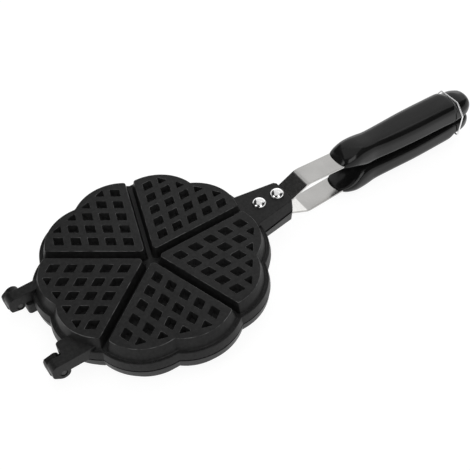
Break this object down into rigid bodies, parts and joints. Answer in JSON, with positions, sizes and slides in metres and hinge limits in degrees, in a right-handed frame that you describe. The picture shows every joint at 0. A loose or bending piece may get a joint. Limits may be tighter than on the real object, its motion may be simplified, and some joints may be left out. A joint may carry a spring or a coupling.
{
  "type": "stove-top waffle iron",
  "caption": "Hand-held stove-top waffle iron: hinged cast plates for heart-shaped waffles, riveted strap handles, moulded grips and a wire locking ring.",
  "frame": {"origin": "middle of the iron's length and width, on the plane where the plates meet", "axes": "+X runs from the plates along the handles, +Y is to the left of someone who looks along +X, +Z points out of the upper plate; the hinge is at -X"},
  "size_m": [0.3936, 0.1714, 0.0436],
  "materials": {
    "cast": "cast, with a dark satin non-stick coating",
    "strap_steel": "rolled and polished",
    "rivet_steel": "polished",
    "wire_steel": "drawn bright wire",
    "moulded_black": "glossy heat-resistant moulding"
  },
  "bodies": {
    "lower_half": {"lower_plate": "cast", "lower_handle_strap": "strap_steel", "lower_inner_rivet": "rivet_steel", "lower_outer_rivet": "rivet_steel", "lower_grip": "moulded_black", "lower_grip_screw": "rivet_steel", "left_hinge_pin": "rivet_steel", "right_hinge_pin": "rivet_steel"},
    "upper_half": {"upper_plate": "cast", "upper_handle_strap": "strap_steel", "upper_inner_rivet": "rivet_steel", "upper_outer_rivet": "rivet_steel", "upper_grip": "moulded_black", "upper_grip_screw": "rivet_steel"},
    "ring": {"lock_ring": "wire_steel"}
  },
  "joints": [
    {"name": "plate_hinge", "type": "hinge", "parent": "lower_half", "child": "upper_half", "pos_m": [-0.18905, 0, 0], "axis": [0, -1, 0], "range_deg": [0, 100]},
    {"name": "ring_swing", "type": "hinge", "parent": "lower_half", "child": "ring", "pos_m": [0.18105, 0, -0.0146], "axis": [0, 1, 0], "range_deg": [0, 180]}
  ]
}
